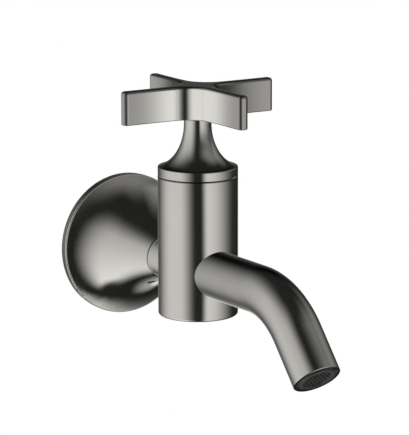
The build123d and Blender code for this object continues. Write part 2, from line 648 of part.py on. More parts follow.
def make_cap_cover():
    """Ring that closes the body, with the flare and the neck in one piece."""
    flare = flare_arc(BODY_RADIUS - CAP_EDGE, NECK_RADIUS)
    neck_start = flare @ 0
    rim = flare @ 1
    rim_side = Vector(BODY_RADIUS, rim.Y - CAP_EDGE)
    corner = rim - Vector(0, CAP_EDGE) + Vector(1, 1).normalized() * CAP_EDGE
    outline = Polyline(
        (0, NECK_TOP),
        (0, SKIRT_BOTTOM),
        (SKIRT_RADIUS, SKIRT_BOTTOM),
        (SKIRT_RADIUS, BODY_RISE),
        (BODY_RADIUS - SEAM_BEVEL, BODY_RISE),
        (BODY_RADIUS, BODY_RISE + SEAM_BEVEL),
        rim_side,
    )
    outline += ThreePointArc(rim_side, corner, rim)
    outline += flare
    outline += Polyline(neck_start, (neck_start.X, NECK_TOP), (0, NECK_TOP))
    cap = turned(outline)
    skirt_bore = SKIRT_RADIUS - SKIRT_WALL
    roof = flare_arc(skirt_bore, NECK_BORE, CAP_WALL)
    high = roof @ 0
    bottom = SKIRT_BOTTOM - CUT_PAST
    cavity = Polyline(high, (0, high.Y), (0, bottom), (skirt_bore, bottom), roof @ 1)
    cap -= turned(cavity + roof)
    cap -= ring(0, NECK_BORE, high.Y - CUT_PAST, NECK_TOP + CUT_PAST)
    half = CAP_ORING_DEPTH / 2 + LOOSE_FIT
    cap -= ring(SKIRT_RADIUS - CAP_ORING_DEPTH, BODY_RADIUS, CAP_ORING_HEIGHT - half, CAP_ORING_HEIGHT + half)
    return VALVE_AXIS * cap


def make_cap_oring():
    """O-ring that holds the cap in the body by friction."""
    inner = SKIRT_RADIUS - CAP_ORING_DEPTH + FILM
    half = CAP_ORING_DEPTH / 2
    outer = SKIRT_RADIUS + LOOSE_FIT - FILM
    return VALVE_AXIS * rubber_ring(inner, outer, CAP_ORING_HEIGHT - half, CAP_ORING_HEIGHT + half)


def make_neck_bush():
    """Plastic bush in the neck, in which the extension turns."""
    return valve_ring(EXTENSION_RADIUS + RUNNING_FIT, NECK_BORE - FILM, NECK_TOP - BUSH_LENGTH, NECK_TOP)


# Cross handle

def side_circle():
    """Radius of the long hollow on an arm's side, and the distance of its centre from the arm's middle."""
    run = ARM_REACH - ARM_WAIST_AT
    rise = ARM_END_HALF - ARM_WAIST_HALF
    radius = (run ** 2 + rise ** 2) / (2 * rise)
    return radius, ARM_WAIST_HALF + radius


def corner_centre():
    """Distance, along X and along Y alike, of a hollow corner's centre from the axis."""
    radius, height = side_circle()
    half_sum = (ARM_WAIST_AT + height) / 2
    product = (ARM_WAIST_AT ** 2 + height ** 2 - (radius - CORNER_RADIUS) ** 2) / 2
    return half_sum - sqrt(half_sum ** 2 - product)


def is_at_arm_end(edge):
    """Whether an upright edge of the handle lies at the end of an arm."""
    middle = edge.center()
    return Vector(middle.X, middle.Y).length > ARM_REACH


def make_handle_cross():
    """Four alike arms with hollow sides and round hollow corners, bored from below."""
    radius, height = side_circle()
    centre = corner_centre()
    along = Vector(centre - ARM_WAIST_AT, centre - height).normalized()
    meet = Vector(centre, centre) + along * CORNER_RADIUS
    mirror_meet = Vector(meet.Y, meet.X)
    inmost = centre - CORNER_RADIUS * sqrt(0.5)
    quarter = Line((ARM_REACH, -ARM_END_HALF), (ARM_REACH, ARM_END_HALF))
    quarter += ThreePointArc((ARM_REACH, ARM_END_HALF), (ARM_WAIST_AT, ARM_WAIST_HALF), meet)
    quarter += ThreePointArc(meet, (inmost, inmost), mirror_meet)
    quarter += ThreePointArc(mirror_meet, (ARM_WAIST_HALF, ARM_WAIST_AT), (ARM_END_HALF, ARM_REACH))
    edges = []
    for turn in range(4):
        edges += (Rot(0, 0, 90 * turn) * quarter).edges()
    cross = prism(make_face(Wire.combine(edges)[0]), HANDLE_BOTTOM, HANDLE_BOTTOM + HANDLE_HEIGHT)
    cross = fillet(cross.edges().filter_by(Axis.Z).filter_by(is_at_arm_end), ARM_END_EDGE)
    flat_faces = cross.faces().sort_by(Axis.Z)
    cross = fillet(flat_faces[0].edges(), HANDLE_BOTTOM_EDGE)
    cross = fillet(cross.faces().sort_by(Axis.Z)[-1].edges(), HANDLE_TOP_EDGE)
    cross -= ring(0, HUB_BORE, HANDLE_BOTTOM - CUT_PAST, HUB_TOP)
    cross -= handle_screw_hole()
    return VALVE_AXIS * cross


def corner_depth():
    """Distance of a hollow corner from the axis, along the diagonal."""
    return corner_centre() * sqrt(2) - CORNER_RADIUS


def to_rear_corner(piece):
    """Lays a piece that stands on the Z axis along the diagonal between the right and the rear arm."""
    return Pos(0, 0, HANDLE_SCREW_HEIGHT) * Rot(0, 0, 45) * Rot(0, 90, 0) * piece


def handle_screw_hole():
    """Hole for the handle's grub screw."""
    hole = Cylinder(HANDLE_SCREW_RADIUS + FILM, ARM_REACH / 2, align=STANDING)
    return to_rear_corner(hole)


def make_handle_set_screw():
    """Grub screw in the handle's rear corner, its point on the extension."""
    start = DRIVE_RADIUS + FILM
    length = corner_depth() - HANDLE_SCREW_RECESS - start
    screw = grub_screw(HANDLE_SCREW_RADIUS, length, HANDLE_SCREW_SOCKET)
    return VALVE_AXIS * to_rear_corner(Pos(0, 0, start) * screw)


def make_handle_insert():
    """Plastic adaptor between the handle's bore and the extension's flats."""
    insert = ring(0, HUB_BORE - RUNNING_FIT, HANDLE_BOTTOM + TURNING_GAP, HUB_TOP)
    insert -= prism(drive_section(RUNNING_FIT), HANDLE_BOTTOM, DRIVE_TOP + ROOF_GAP)
    return VALVE_AXIS * (insert - handle_screw_hole())


# Spout

def spout_path():
    """Centre line of the spout, from the spigot's inner end to the mouth."""
    side_view = Plane(origin=(0, 0, 0), x_dir=(0, -1, 0), z_dir=(-1, 0, 0))
    bend_start = (AXIS_REACH + SPOUT_LEG, 0)
    first = Line((AXIS_REACH + SPIGOT_AT, 0), bend_start)
    bend = JernArc(start=bend_start, tangent=(1, 0), radius=BEND_RADIUS, arc_size=-BEND_ANGLE)
    last = Line(bend @ 1, bend @ 1 + (bend % 1) * END_LEG)
    return side_view * Wire([first.edge(), bend.edge(), last.edge()])


def tube(path, radius):
    """Round bar along a path."""
    start = Plane(origin=path @ 0, z_dir=path % 0)
    return sweep(start * Circle(radius), path=path)


def at_mouth(piece):
    """Puts a piece that stands on the Z axis in the spout's mouth, its heights running into the tube."""
    path = spout_path()
    return Plane(origin=path @ 1, x_dir=(1, 0, 0), z_dir=-(path % 1)).location * piece


def make_spout():
    """Bent tube with a spigot in the body and a thread for the aerator in its mouth."""
    path = spout_path()
    spout = tube(path, SPOUT_RADIUS)
    spout -= body_cylinder()
    mouth_rim = spout.edges().filter_by(GeomType.CIRCLE).sort_by(Axis.Z)[0]
    spout = fillet(mouth_rim, MOUTH_EDGE)
    spout += inlet_ring(0, SPIGOT_RADIUS, AXIS_REACH + SPIGOT_AT, AXIS_REACH + BODY_RADIUS)
    spout -= tube(path, SPOUT_BORE)
    return spout - at_mouth(ring(0, MOUTH_THREAD, -CUT_PAST, MOUTH_THREAD_LENGTH))


# Aerator, from the mouth inwards

def make_aerator_housing():
    """Threaded ring with a lipped collar round the screen and slots for its key."""
    lip = AERATOR_BORE - AERATOR_LIP
    section = [
        (lip, -AERATOR_STANDOUT),
        (COLLAR_RADIUS - COLLAR_BEVEL, -AERATOR_STANDOUT),
        (COLLAR_RADIUS, COLLAR_BEVEL - AERATOR_STANDOUT),
        (COLLAR_RADIUS, AERATOR_RECESS),
        (AERATOR_RADIUS, AERATOR_RECESS),
        (AERATOR_RADIUS, GASKET_START),
        (AERATOR_BORE, GASKET_START),
        (AERATOR_BORE, AERATOR_SEAT),
        (lip, AERATOR_SEAT),
    ]
    housing = turned(Polyline(*section, close=True))
    for number in range(KEY_SLOTS):
        width = 2 * (AERATOR_RADIUS - COLLAR_RADIUS)
        reach = 2 * (AERATOR_RECESS + KEY_SLOT_DEPTH)
        slot = Pos(AERATOR_RADIUS, 0, 0) * Box(width, KEY_SLOT_WIDTH, reach)
        housing -= Rot(0, 0, 45 + 360 * number / KEY_SLOTS) * slot
    return at_mouth(housing)


def make_aerator_screen():
    """Plate with a square lattice inside a plain frame."""
    outer = AERATOR_BORE - FILM
    plate = Circle(outer)
    hole_edge = outer - AERATOR_LIP - SCREEN_FRAME
    count = int(2 * outer / SCREEN_PITCH)
    lattice = GridLocations(SCREEN_PITCH, SCREEN_PITCH, count, count) * Rectangle(SCREEN_HOLE, SCREEN_HOLE)
    plate -= Sketch() + (Circle(hole_edge) & (Sketch() + lattice))
    return at_mouth(prism(plate, AERATOR_SEAT, CORE_START))


def make_aerator_core():
    """Jet plate with a circle of fine holes under a shallow dish."""
    core = ring(0, AERATOR_BORE - FILM, CORE_START, REGULATOR_START)
    dish_radius = CORE_HOLE_CIRCLE + 2 * CORE_HOLE_RADIUS
    core -= ring(0, dish_radius, REGULATOR_START - CORE_DISH, REGULATOR_START + CUT_PAST)
    holes = PolarLocations(CORE_HOLE_CIRCLE, CORE_HOLES) * Circle(CORE_HOLE_RADIUS)
    return at_mouth(core - prism(Sketch() + holes, CORE_START - CUT_PAST, REGULATOR_START + CUT_PAST))


def make_flow_regulator():
    """Disc with a groove for its O-ring and holes in the groove's floor."""
    inner = REGULATOR_GROOVE - REGULATOR_GROOVE_WIDTH / 2
    outer = REGULATOR_GROOVE + REGULATOR_GROOVE_WIDTH / 2
    disc = ring(0, AERATOR_BORE - FILM, REGULATOR_START, REGULATOR_END)
    disc -= ring(inner, outer, REGULATOR_END - REGULATOR_GROOVE_DEPTH, REGULATOR_END + CUT_PAST)
    holes = PolarLocations(REGULATOR_GROOVE, REGULATOR_HOLES) * Circle(REGULATOR_HOLE_RADIUS)
    return at_mouth(disc - prism(Sketch() + holes, REGULATOR_START - CUT_PAST, REGULATOR_END))


def make_regulator_oring():
    """O-ring that swells with the pressure and throttles the flow."""
    low = REGULATOR_END - REGULATOR_GROOVE_DEPTH
    half = REGULATOR_CORD / 2
    return at_mouth(rubber_ring(REGULATOR_GROOVE - half, REGULATOR_GROOVE + half, low, low + REGULATOR_CORD))


def make_aerator_gasket():
    """Flat ring between the aerator and the shoulder in the spout."""
    outer = MOUTH_THREAD - LOOSE_FIT
    return at_mouth(ring(outer - GASKET_WIDTH, outer, GASKET_START, MOUTH_THREAD_LENGTH))


PIECES = {
    "wall_flange": make_wall_flange,
    "flange_seal": make_flange_seal,
    "flange_oring": make_flange_oring,
    "flange_set_screw": make_flange_set_screw,
    "inlet_nipple": make_inlet_nipple,
    "nipple_washer": make_nipple_washer,
    "valve_body": make_valve_body,
    "headwork_housing": make_headwork_housing,
    "headwork_oring": make_headwork_oring,
    "bottom_seal": make_bottom_seal,
    "fixed_disc": make_fixed_disc,
    "moving_disc": make_moving_disc,
    "spindle": make_spindle,
    "thrust_washer": make_thrust_washer,
    "spindle_orings": make_spindle_orings,
    "spindle_clip": make_spindle_clip,
    "spindle_extension": make_spindle_extension,
    "extension_screw": make_extension_screw,
    "cap_cover": make_cap_cover,
    "cap_oring": make_cap_oring,
    "neck_bush": make_neck_bush,
    "handle_cross": make_handle_cross,
    "handle_set_screw": make_handle_set_screw,
    "handle_insert": make_handle_insert,
    "spout": make_spout,
    "aerator_housing": make_aerator_housing,
    "aerator_screen": make_aerator_screen,
    "aerator_core": make_aerator_core,
    "flow_regulator": make_flow_regulator,
    "regulator_oring": make_regulator_oring,
    "aerator_gasket": make_aerator_gasket,
}

os.makedirs("parts", exist_ok=True)
for name, make in PIECES.items():
    export_step(make(), f"parts/{name}.step")
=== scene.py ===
"""Looks of a wall-mounted tap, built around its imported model. All lengths are in metres."""
from __future__ import annotations

import json
import logging
import math
from dataclasses import dataclass, replace
from enum import Enum
from functools import cache
from typing import Sequence, Union

import bmesh
import bpy
from mathutils import Matrix, Vector


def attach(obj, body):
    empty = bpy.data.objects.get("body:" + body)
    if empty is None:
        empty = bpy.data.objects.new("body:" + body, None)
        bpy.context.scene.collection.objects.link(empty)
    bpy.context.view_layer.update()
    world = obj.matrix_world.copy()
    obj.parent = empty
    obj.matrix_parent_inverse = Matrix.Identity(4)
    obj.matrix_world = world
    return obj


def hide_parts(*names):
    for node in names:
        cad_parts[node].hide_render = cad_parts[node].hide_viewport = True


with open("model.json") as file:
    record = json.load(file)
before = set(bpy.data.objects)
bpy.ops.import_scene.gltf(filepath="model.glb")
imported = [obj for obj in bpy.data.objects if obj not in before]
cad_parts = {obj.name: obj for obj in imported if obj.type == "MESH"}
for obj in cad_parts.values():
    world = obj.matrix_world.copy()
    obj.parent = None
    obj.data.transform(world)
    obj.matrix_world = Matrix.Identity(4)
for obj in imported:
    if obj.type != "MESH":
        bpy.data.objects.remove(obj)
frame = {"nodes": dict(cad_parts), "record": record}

log = logging.getLogger("tap")
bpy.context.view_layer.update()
Number = Union[float, "Signal"]
Range = tuple[float, float]
Colour = tuple[float, float, float]
Point = tuple[float, float, float]

WHITE: Colour = (1.0, 1.0, 1.0)
HALF_TURN = 180.0
DEGREES = math.degrees(1.0)
TINY = 1.0e-9

# Cosines of the lean between a rounded and a true normal where edge wear starts and is full.
WEAR_RANGE: Range = (0.985, 0.75)
WEAR_SAMPLES = 4


class Signal:
    """A value socket of one node tree, with arithmetic that adds Math nodes."""

    def __init__(self, shop: NodeShop, socket: bpy.types.NodeSocket) -> None:
        """Wraps a socket.

        Args:
            shop: the tree's node builder.
            socket: the output socket that carries the value.
        """
        self.shop = shop
        self.socket = socket

    def math(self, operation: str, *others: Number) -> Signal:
        """Adds a Math node.

        Args:
            operation: the node's operation.
            *others: its further inputs, values or signals.

        Returns:
            The node's result.
        """
        return self.shop.add("ShaderNodeMath", {"operation": operation}, (self, *others))

    def _swapped(self, operation: str, other: Number) -> Signal:
        """Adds a Math node in which this signal comes second."""
        return self.shop.add("ShaderNodeMath", {"operation": operation}, (other, self))

    def __add__(self, other: Number) -> Signal:
        """Sum."""
        return self.math("ADD", other)

    def __radd__(self, other: Number) -> Signal:
        """Sum with a number on the left."""
        return self._swapped("ADD", other)

    def __sub__(self, other: Number) -> Signal:
        """Difference."""
        return self.math("SUBTRACT", other)

    def __rsub__(self, other: Number) -> Signal:
        """Difference with a number on the left."""
        return self._swapped("SUBTRACT", other)

    def __mul__(self, other: Number) -> Signal:
        """Product."""
        return self.math("MULTIPLY", other)

    def __rmul__(self, other: Number) -> Signal:
        """Product with a number on the left."""
        return self._swapped("MULTIPLY", other)

    def __truediv__(self, other: Number) -> Signal:
        """Quotient."""
        return self.math("DIVIDE", other)

    def __rtruediv__(self, other: Number) -> Signal:
        """Quotient with a number on the left."""
        return self._swapped("DIVIDE", other)

    def __neg__(self) -> Signal:
        """The value with its sign changed."""
        return self.math("MULTIPLY", -1.0)

    def __abs__(self) -> Signal:
        """The value without its sign."""
        return self.math("ABSOLUTE")

    def root(self) -> Signal:
        """The square root."""
        return self.math("SQRT")

    def at_least(self, other: Number) -> Signal:
        """The larger of the two."""
        return self.math("MAXIMUM", other)

    def at_most(self, other: Number) -> Signal:
        """The smaller of the two."""
        return self.math("MINIMUM", other)

    def smooth(self, low: float, high: float, start: float = 0.0, end: float = 1.0) -> Signal:
        """Smooth step.

        Args:
            low: the value at which the step begins.
            high: the value at which it ends.
            start: the result below low.
            end: the result above high.

        Returns:
            The stepped value.
        """
        settings = {"interpolation_type": "SMOOTHSTEP", "clamp": True}
        return self.shop.add("ShaderNodeMapRange", settings, (self, low, high, start, end))

    def fall(self, low: float, high: float) -> Signal:
        """Smooth step down, from 1 below low to 0 above high."""
        return self.smooth(low, high, 1.0, 0.0)


class MixKind(Enum):
    """What a Mix node mixes: its data type, the places of its two inputs and of its output."""

    NORMAL = ("VECTOR", 4, 5, 1)
    COLOUR = ("RGBA", 6, 7, 2)


class NodeShop:
    """Adds nodes to one tree."""

    def __init__(self, tree: bpy.types.NodeTree) -> None:
        """Starts with an empty tree."""
        self.tree = tree
        tree.nodes.clear()

    def node(self, kind: str, settings: dict, inputs: Union[dict, Sequence]) -> bpy.types.Node:
        """Adds one node.

        Args:
            kind: the node's type.
            settings: its own settings, set before its sockets.
            inputs: values, signals or sockets, by socket name or in socket order.

        Returns:
            The node.
        """
        node = self.tree.nodes.new(kind)
        for name, value in settings.items():
            setattr(node, name, value)
        pairs = inputs.items() if isinstance(inputs, dict) else enumerate(inputs)
        for key, value in pairs:
            socket = node.inputs[key]
            source = value.socket if isinstance(value, Signal) else value
            if isinstance(source, bpy.types.NodeSocket):
                self.tree.links.new(source, socket)
            else:
                socket.default_value = source
        return node

    def add(
        self,
        kind: str,
        settings: dict,
        inputs: Union[dict, Sequence],
        output: Union[int, str] = 0,
    ) -> Signal:
        """Adds one node and gives one of its outputs.

        Args:
            kind: the node's type.
            settings: its own settings.
            inputs: values, signals or sockets, by socket name or in socket order.
            output: the output's place or name.

        Returns:
            The output, as a signal.
        """
        return Signal(self, self.node(kind, settings, inputs).outputs[output])

    def finish_surface(
        self,
        shader: bpy.types.Node,
        output: str = "ShaderNodeOutputMaterial",
    ) -> None:
        """Links a shader to the tree's output."""
        self.node(output, {}, {"Surface": shader.outputs[0]})

    def place(self) -> Signal:
        """The surface point in the object's own axes."""
        return self.add("ShaderNodeTexCoord", {}, {}, "Object")

    def facing(self) -> Signal:
        """The surface normal in the object's own axes."""
        return self.add("ShaderNodeTexCoord", {}, {}, "Normal")

    def parts(self, vector: Signal) -> tuple[Signal, Signal, Signal]:
        """Splits a vector in its three values."""
        outputs = self.node("ShaderNodeSeparateXYZ", {}, (vector,)).outputs
        return Signal(self, outputs[0]), Signal(self, outputs[1]), Signal(self, outputs[2])

    def noise(self, grain: float, layers: float, stretch: Point = (1.0, 1.0, 1.0)) -> Signal:
        """Soft noise over the surface.

        Args:
            grain: its spots per metre.
            layers: how many finer layers it has.
            stretch: factors on the three axes.

        Returns:
            Values from 0 to 1.
        """
        point = self.add("ShaderNodeMapping", {}, {"Vector": self.place(), "Scale": stretch})
        sockets = {"Vector": point, "Scale": grain, "Detail": layers}
        return self.add("ShaderNodeTexNoise", {}, sockets)

    def mix(
        self,
        share: Number,
        first: Union[Colour, Signal],
        second: Union[Colour, Signal],
        kind: MixKind = MixKind.COLOUR,
    ) -> Signal:
        """Mixes two colours or two normals.

        Args:
            share: 0 for the first, 1 for the second.
            first: a colour or a normal.
            second: a colour or a normal.
            kind: what is mixed.

        Returns:
            The mixed colour or normal.
        """
        data_type, *places, output = kind.value
        inputs = {"Factor": share}
        for place, value in zip(places, (first, second)):
            inputs[place] = value if isinstance(value, Signal) else (*value, 1.0)
        return self.add("ShaderNodeMix", {"data_type": data_type}, inputs, output)

    def bump(self, height: Signal, distance: float = 1.0) -> Signal:
        """Turns a height into a shading normal.

        Args:
            height: the height.
            distance: metres between a height of 0 and one of 1.

        Returns:
            The normal.
        """
        return self.add("ShaderNodeBump", {}, {"Height": height, "Distance": distance})

    def edges(self, width: float) -> Signal:
        """Share of edge wear.

        Args:
            width: how far from an edge the wear reaches.

        Returns:
            0 on an even surface, up to 1 on an edge.
        """
        rounded = self.add("ShaderNodeBevel", {"samples": WEAR_SAMPLES}, {"Radius": width})
        true = self.add("ShaderNodeNewGeometry", {}, {}, "Normal")
        settings = {"operation": "DOT_PRODUCT"}
        even = self.add("ShaderNodeVectorMath", settings, (rounded, true), "Value")
        return even.smooth(*WEAR_RANGE)


def new_material(name: str) -> tuple[bpy.types.Material, NodeShop]:
    """Makes an empty material.

    Args:
        name: its name.

    Returns:
        The material and its node builder.
    """
    material = bpy.data.materials.new(name)
    material.use_nodes = True
    return material, NodeShop(material.node_tree)


@dataclass(frozen=True)
class Surface:
    """What varies over a plated piece."""

    colour: Signal
    roughness: Signal
    normal: Signal


@dataclass(frozen=True)
class PlatedMetal:
    """Polished plating in a warm grey, with a little haze and slightly paler edges.

    A grain is a number of spots per metre, and a range gives where a soft step begins and ends.
    The grazing tint dims the reflections at the outline, as the real plating does.
    """

    name: str = "polished_plating"
    colour: Colour = (0.6, 0.59, 0.565)
    worn_colour: Colour = (0.68, 0.67, 0.64)
    grazing_tint: Colour = (0.75, 0.75, 0.75)
    roughness: float = 0.085
    cloud_grain: float = 60.0
    haze_range: Range = (0.35, 0.75)
    haze: float = 0.035
    wipe_grain: float = 700.0
    wipe_stretch: Point = (1.0, 1.0, 0.2)
    wipe_haze: float = 0.012
    worn_range: Range = (0.45, 0.8)
    worn_share: float = 0.3
    edge_width: float = 0.0003
    edge_share: float = 0.6
    wave_grain: float = 140.0
    wave: float = 2.0e-6

    def build(self) -> bpy.types.Material:
        """Makes the material.

        Returns:
            The material.
        """
        material, shop = new_material(self.name)
        cloud = shop.noise(self.cloud_grain, layers=3.0)
        wipes = shop.noise(self.wipe_grain, layers=2.0, stretch=self.wipe_stretch)
        haze = cloud.smooth(*self.haze_range, 0.0, self.haze)
        worn = cloud.smooth(*self.worn_range, 0.0, self.worn_share)
        worn = worn.at_least(shop.edges(self.edge_width) * self.edge_share)
        surface = Surface(
            colour=shop.mix(worn, self.colour, self.worn_colour),
            roughness=self.roughness + haze + wipes * self.wipe_haze,
            normal=shop.bump(shop.noise(self.wave_grain, layers=1.0), self.wave),
        )
        surface = self.vary(shop, surface)
        sockets = {
            "Base Color": surface.colour,
            "Metallic": 1.0,
            "Roughness": surface.roughness,
            "Normal": surface.normal,
            "Specular Tint": (*self.grazing_tint, 1.0),
        }
        shop.finish_surface(shop.node("ShaderNodeBsdfPrincipled", {}, sockets))
        return material

    def vary(self, shop: NodeShop, surface: Surface) -> Surface:
        """Changes the finish over the piece; plain plating stays as it is.

        Args:
            shop: the material's node builder.
            surface: the plain plating.

        Returns:
            The changed surface.
        """
        return surface


@dataclass(frozen=True)
class PlatedBell(PlatedMetal):
    """Plating on a turned bell about the Y axis, whose hollow is left as cast.

    A facing is the share of the normal that points away from the axis. The rim's reflections
    lean by its slope, and a line of painted shade edges the set screw's hole, measured from it.
    """

    name: str = "plating_on_cast_bell"
    hollow_facing: Range = (-0.3, -0.1)
    cast_colour: Colour = (0.30, 0.27, 0.22)
    cast_shade: float = 0.75
    cast_roughness: float = 0.42
    sand_grain: float = 1800.0
    sand_range: Range = (0.3, 0.7)
    sand_roughness: float = 0.12
    sand_depth: float = 6.0e-5
    rim_facing: Range = (0.97, 0.99)
    rim_at: float = -0.0034
    rim_fade: float = 0.0003
    rim_slope: float = 0.16
    screw_at: float = -0.0275
    screw_radius: float = 0.0025
    # painted shade: where the dark line round the set screw's hole begins and ends, and its colour
    shade_line_start: Range = (-0.0001, 0.0)
    shade_line_end: Range = (0.0004, 0.0006)
    shade_line_side: Range = (-0.001, 0.0)
    shade_line_colour: Colour = (0.08, 0.08, 0.075)

    def vary(self, shop: NodeShop, surface: Surface) -> Surface:
        """Shows the cast metal where the bell faces its axis, and leans the rim's reflections.

        Args:
            shop: the material's node builder.
            surface: the plain plating.

        Returns:
            The changed surface.
        """
        x, y, z = shop.parts(shop.place())
        across, _, up = shop.parts(shop.facing())
        outward = (x * across + z * up) / (x * x + z * z + TINY).root()
        cast = outward.fall(*self.hollow_facing)
        sand = shop.noise(self.sand_grain, layers=4.0)
        shade = tuple(self.cast_shade * value for value in self.cast_colour)
        skin = shop.mix(sand.smooth(*self.sand_range), self.cast_colour, shade)
        rough = surface.roughness
        rim = outward.smooth(*self.rim_facing) * y.smooth(self.rim_at - self.rim_fade, self.rim_at)
        normal = shop.mix(rim, surface.normal, shop.bump(-y * self.rim_slope), MixKind.NORMAL)
        # painted shade: a dark line drawn round the set screw's hole
        plated = shop.mix(self.screw_shade_line(x, y, z), surface.colour, self.shade_line_colour)
        return Surface(
            colour=shop.mix(cast, plated, skin),
            roughness=rough + cast * (self.cast_roughness + sand * self.sand_roughness - rough),
            normal=shop.mix(cast, normal, shop.bump(sand, self.sand_depth), MixKind.NORMAL),
        )

    def screw_shade_line(self, x: Signal, y: Signal, z: Signal) -> Signal:
        """Share of the painted shade line round the set screw's hole, on the bell's underside.

        Args:
            x: place across.
            y: place along the bell's axis.
            z: height above the axis.

        Returns:
            1 on the line, 0 away from it.
        """
        along = y - self.screw_at
        off = (along * along + x * x).root() - self.screw_radius
        return off.smooth(*self.shade_line_start) * off.fall(*self.shade_line_end) * z.fall(*self.shade_line_side)


@dataclass(frozen=True)
class PlatedBarrel(PlatedMetal):
    """Plating on the upright body, with painted shade at its top edge, below the cap."""

    name: str = "plating_on_barrel"
    groove_shade_range: Range = (0.0418, 0.0422)
    groove_shade_colour: Colour = (0.2, 0.195, 0.185)

    def vary(self, shop: NodeShop, surface: Surface) -> Surface:
        """Paints shade on the edge below the cap.

        Args:
            shop: the material's node builder.
            surface: the plain plating.

        Returns:
            The changed surface.
        """
        _, _, z = shop.parts(shop.place())
        # painted shade in the groove between the body's top edge and the cap
        groove_shade = z.smooth(*self.groove_shade_range)
        return replace(surface, colour=shop.mix(groove_shade, surface.colour, self.groove_shade_colour))


@dataclass(frozen=True)
class PlatedSpout(PlatedMetal):
    """Plating on the spout, with painted shade on the wall inside its mouth.

    The mouth is the middle of its end, and the bend is the angle that the tube turns down by.
    """

    name: str = "plating_on_spout"
    mouth: Point = (0.0, -0.1626, -0.0304)
    bend: float = math.radians(48.5)
    bore: float = 0.0094
    bore_fade: float = 0.0002
    shade_depth: float = 0.004
    shade_fade: float = 0.001
    bore_shade_colour: Colour = (0.05, 0.05, 0.048)

    def vary(self, shop: NodeShop, surface: Surface) -> Surface:
        """Paints shade on the wall of the bore near the mouth.

        Args:
            shop: the material's node builder.
            surface: the plain plating.

        Returns:
            The changed surface.
        """
        x, y, z = shop.parts(shop.place())
        ahead, above = self.mouth[1] - y, z - self.mouth[2]
        aside = above * math.cos(self.bend) + ahead * math.sin(self.bend)
        along = ahead * math.cos(self.bend) - above * math.sin(self.bend)
        radius = (x * x + aside * aside).root()
        # painted shade on the bore's wall, a few millimetres into the mouth
        bore_shade = radius.fall(self.bore, self.bore + self.bore_fade)
        bore_shade = bore_shade * along.smooth(-self.shade_depth, self.shade_fade - self.shade_depth)
        return replace(surface, colour=shop.mix(bore_shade, surface.colour, self.bore_shade_colour))


@dataclass(frozen=True)
class PlatedTube(PlatedMetal):
    """Plating on a tube along the Y axis, whose polishing has left it very slightly tapered."""

    name: str = "plating_on_tube"
    taper: float = 0.15

    def vary(self, shop: NodeShop, surface: Surface) -> Surface:
        """Leans the reflections of the whole side towards the front."""
        _, y, _ = shop.parts(shop.place())
        return replace(surface, normal=shop.bump(y * self.taper))


@dataclass(frozen=True)
class PlatedArms(PlatedMetal):
    """Plating on the cross, whose upright sides the polishing wheel has shaped very slightly."""

    name: str = "plating_on_cross"
    # The cross: its axis on Y, the arms' reach, and where the hub's hollow corners are.
    axis_at: float = -0.0667
    reach: float = 0.0387
    corner_at: float = 0.0134
    corner_middle: float = 0.0056
    # How far the sides seem to lean: across the handle, towards the hub and round its corners.
    side_slope: float = 0.09
    hub_slope: float = 0.40
    hub_power: float = 2.2
    twist_height: float = 0.00165
    twist_width: float = 0.006
    # The normal's upward share where a face stops being upright, and on the rounded rims.
    upright_range: Range = (0.25, 0.8)
    rim_from: Range = (0.15, 0.4)
    rim_to: Range = (0.85, 0.97)
    # share of painted shade on the rounded rims
    rim_shade_share: float = 0.8
    # The upright edges at the arms' ends: how far their normal is turned, and their place.
    corner_range: Range = (0.08, 0.25)
    edge_range: Range = (0.035, 0.036)
    # painted shade colour for the arms' end edges and the rims
    edge_shade_colour: Colour = (0.22, 0.215, 0.205)
    # Distances from the axis where the painted highlight begins and is full.
    hub_sheen_range: Range = (0.032, 0.012)
    hub_sheen_colour: Colour = (0.8, 0.79, 0.76)

    def vary(self, shop: NodeShop, surface: Surface) -> Surface:
        """Leans upright sides' reflections; paints a highlight near the hub, shade on edges.

        Args:
            shop: the material's node builder.
            surface: the plain plating.

        Returns:
            The changed surface.
        """
        x, y, _ = shop.parts(shop.place())
        east, north = abs(x), abs(y - self.axis_at)
        along = east.at_least(north)
        across, ahead, up = shop.parts(shop.facing())
        tilt = abs(up)
        upright = tilt.fall(*self.upright_range)
        twist = (east - north).smooth(-self.twist_width, self.twist_width, 0.0, self.twist_height)
        height = self.hub_curve(along) - x * self.side_slope - twist
        ends = abs(across * ahead).smooth(*self.corner_range) * along.smooth(*self.edge_range)
        rims = tilt.smooth(*self.rim_from) * tilt.fall(*self.rim_to)
        # painted shade: darker colour on the arms' end edges and, weaker, on the rounded rims
        edge_shade = (ends * upright).at_least(rims * self.rim_shade_share)
        # painted highlight: a paler colour on the upright sides near the hub
        hub_sheen = along.smooth(*self.hub_sheen_range) * upright
        sheened_plating = shop.mix(hub_sheen, surface.colour, self.hub_sheen_colour)
        return replace(
            surface,
            colour=shop.mix(edge_shade, sheened_plating, self.edge_shade_colour),
            normal=shop.mix(upright, surface.normal, shop.bump(height), MixKind.NORMAL),
        )

    def hub_curve(self, along: Signal) -> Signal:
        """Height that leans the sides more and more towards the hub, and levels in the corner.

        Args:
            along: distance from the handle's axis, measured along an arm.

        Returns:
            The height.
        """
        length = self.reach - self.corner_at
        rise = self.hub_power + 1.0
        inward = (self.reach - along.at_least(self.corner_at)).at_least(0.0) / length
        curve = inward.math("POWER", rise) * (self.hub_slope * length / rise)
        inner = along.at_least(self.corner_middle).at_most(self.corner_at) - self.corner_middle
        level = self.hub_slope / (self.corner_at - self.corner_middle) / 2.0
        return curve - inner * inner * level


